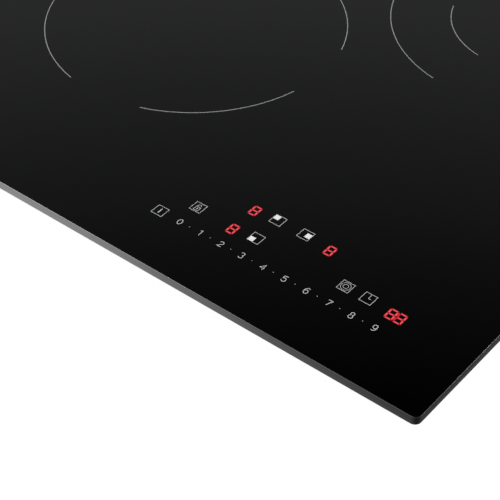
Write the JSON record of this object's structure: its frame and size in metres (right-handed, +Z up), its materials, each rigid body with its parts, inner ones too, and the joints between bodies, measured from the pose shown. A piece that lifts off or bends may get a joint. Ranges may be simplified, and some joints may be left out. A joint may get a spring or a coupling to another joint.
{
  "type": "built-in induction cooktop",
  "caption": "Flush black glass induction cooktop with zone rings, a touch slider and red digits, on a vented steel casing with worktop clamps.",
  "frame": {"origin": "underside of the casing, below the centre of the glass", "axes": "+X to the right as the user faces the hob, +Y to the back, +Z up out of the glass"},
  "size_m": [0.45, 0.52, 0.0556],
  "materials": {
    "aluminium_sheet": "rolled, satin",
    "black_epoxy": "moulded epoxy",
    "black_polyamide": "moulded, matt",
    "capacitor_case": "moulded case",
    "choke_copper": "enamelled copper wire",
    "circuit_board": "solder-masked laminate",
    "coil_former": "heat-resistant moulding",
    "contact_spring": "plated",
    "display_case": "moulded, white",
    "ferrite": "sintered, matt",
    "foam_rubber": "closed-cell foam tape",
    "galvanised_steel": "zinc-coated sheet",
    "glass_ceramic": "polished black glass ceramic",
    "heatsink_aluminium": "extruded",
    "litz_copper": "stranded enamelled copper",
    "mica": "pressed mica board",
    "relay_case": "moulded case",
    "ribbon_film": "flat cable",
    "sensor_ceramic": "white, unglazed",
    "silicone": "silicone adhesive",
    "silicone_sleeve": "silicone sleeve",
    "spring_steel": "drawn wire",
    "white_polyamide": "moulded, matt",
    "wire_insulation": "insulated copper wire",
    "zinc_screw": "zinc plated"
  },
  "bodies": {
    "casing": {"glass_top": "glass_ceramic", "worktop_seal": "foam_rubber", "glass_adhesive": "silicone", "glass_frame": "aluminium_sheet", "casing_tray": "galvanised_steel", "casing_screws": "zinc_screw", "coil_plate": "aluminium_sheet", "power_board_left": "circuit_board", "power_board_right": "circuit_board", "heatsink_left": "heatsink_aluminium", "heatsink_right": "heatsink_aluminium", "power_transistors": "black_epoxy", "film_capacitors": "capacitor_case", "filter_chokes": "choke_copper", "relays": "relay_case", "board_cradle": "black_polyamide", "fan_housing_left": "black_polyamide", "fan_housing_right": "black_polyamide", "control_board": "circuit_board", "control_frame": "black_polyamide", "digit_displays": "display_case", "touch_springs": "contact_spring", "control_ribbon": "ribbon_film", "terminal_box": "white_polyamide", "terminal_block": "white_polyamide", "terminal_screws": "zinc_screw", "mains_wires": "wire_insulation"},
    "coil_front_left": {"carrier_front_left": "coil_former", "winding_front_left": "litz_copper", "ferrites_front_left": "ferrite", "insulation_front_left": "mica", "sensor_front_left": "sensor_ceramic", "springs_front_left": "spring_steel", "leads_front_left": "silicone_sleeve"},
    "coil_rear_left": {"carrier_rear_left": "coil_former", "winding_rear_left": "litz_copper", "ferrites_rear_left": "ferrite", "insulation_rear_left": "mica", "sensor_rear_left": "sensor_ceramic", "springs_rear_left": "spring_steel", "leads_rear_left": "silicone_sleeve"},
    "coil_right": {"carrier_right": "coil_former", "winding_right_inner": "litz_copper", "winding_right_outer": "litz_copper", "ferrites_right": "ferrite", "insulation_right": "mica", "sensor_right": "sensor_ceramic", "springs_right": "spring_steel", "leads_right": "silicone_sleeve"},
    "impeller_left": {"fan_impeller_left": "black_polyamide"},
    "impeller_right": {"fan_impeller_right": "black_polyamide"},
    "clamp_screw_front_left": {"clamp_screw_front_left": "zinc_screw"},
    "clamp_arm_front_left": {"clamp_arm_front_left": "galvanised_steel"},
    "clamp_screw_front_right": {"clamp_screw_front_right": "zinc_screw"},
    "clamp_arm_front_right": {"clamp_arm_front_right": "galvanised_steel"},
    "clamp_screw_rear_left": {"clamp_screw_rear_left": "zinc_screw"},
    "clamp_arm_rear_left": {"clamp_arm_rear_left": "galvanised_steel"},
    "clamp_screw_rear_right": {"clamp_screw_rear_right": "zinc_screw"},
    "clamp_arm_rear_right": {"clamp_arm_rear_right": "galvanised_steel"},
    "terminal_lid": {"terminal_lid": "white_polyamide"}
  },
  "joints": [
    {"name": "coil_front_left_press", "type": "slide", "parent": "casing", "child": "coil_front_left", "axis": [0, 0, 1], "range_m": [-0.004, 0], "stiffness_N_per_m": 6000, "springref_m": 0.005, "deforming": ["springs_front_left", "leads_front_left"]},
    {"name": "coil_rear_left_press", "type": "slide", "parent": "casing", "child": "coil_rear_left", "axis": [0, 0, 1], "range_m": [-0.004, 0], "stiffness_N_per_m": 6000, "springref_m": 0.005, "deforming": ["springs_rear_left", "leads_rear_left"]},
    {"name": "coil_right_press", "type": "slide", "parent": "casing", "child": "coil_right", "axis": [0, 0, 1], "range_m": [-0.004, 0], "stiffness_N_per_m": 6000, "springref_m": 0.005, "deforming": ["springs_right", "leads_right"]},
    {"name": "impeller_left_spin", "type": "hinge", "parent": "casing", "child": "impeller_left", "pos_m": [-0.085, 0.152, 0.012], "axis": [0, 0, 1], "continuous": true},
    {"name": "impeller_right_spin", "type": "hinge", "parent": "casing", "child": "impeller_right", "pos_m": [0.085, 0.152, 0.012], "axis": [0, 0, 1], "continuous": true},
    {"name": "clamp_lift_front_left", "type": "slide", "parent": "casing", "child": "clamp_screw_front_left", "axis": [0, 0, 1], "range_m": [0, 0.015]},
    {"name": "clamp_swing_front_left", "type": "hinge", "parent": "clamp_screw_front_left", "child": "clamp_arm_front_left", "pos_m": [-0.189, -0.15, 0.006], "axis": [0, 0, 1], "range_deg": [0, 90]},
    {"name": "clamp_lift_front_right", "type": "slide", "parent": "casing", "child": "clamp_screw_front_right", "axis": [0, 0, 1], "range_m": [0, 0.015]},
    {"name": "clamp_swing_front_right", "type": "hinge", "parent": "clamp_screw_front_right", "child": "clamp_arm_front_right", "pos_m": [0.189, -0.15, 0.006], "axis": [0, 0, 1], "range_deg": [-90, 0]},
    {"name": "clamp_lift_rear_left", "type": "slide", "parent": "casing", "child": "clamp_screw_rear_left", "axis": [0, 0, 1], "range_m": [0, 0.015]},
    {"name": "clamp_swing_rear_left", "type": "hinge", "parent": "clamp_screw_rear_left", "child": "clamp_arm_rear_left", "pos_m": [-0.189, 0.15, 0.006], "axis": [0, 0, 1], "range_deg": [-90, 0]},
    {"name": "clamp_lift_rear_right", "type": "slide", "parent": "casing", "child": "clamp_screw_rear_right", "axis": [0, 0, 1], "range_m": [0, 0.015]},
    {"name": "clamp_swing_rear_right", "type": "hinge", "parent": "clamp_screw_rear_right", "child": "clamp_arm_rear_right", "pos_m": [0.189, 0.15, 0.006], "axis": [0, 0, 1], "range_deg": [0, 90]},
    {"name": "terminal_lid_hinge", "type": "hinge", "parent": "casing", "child": "terminal_lid", "pos_m": [-0.135, 0.2426, 0.0245], "axis": [1, 0, 0], "range_deg": [0, 90]}
  ]
}
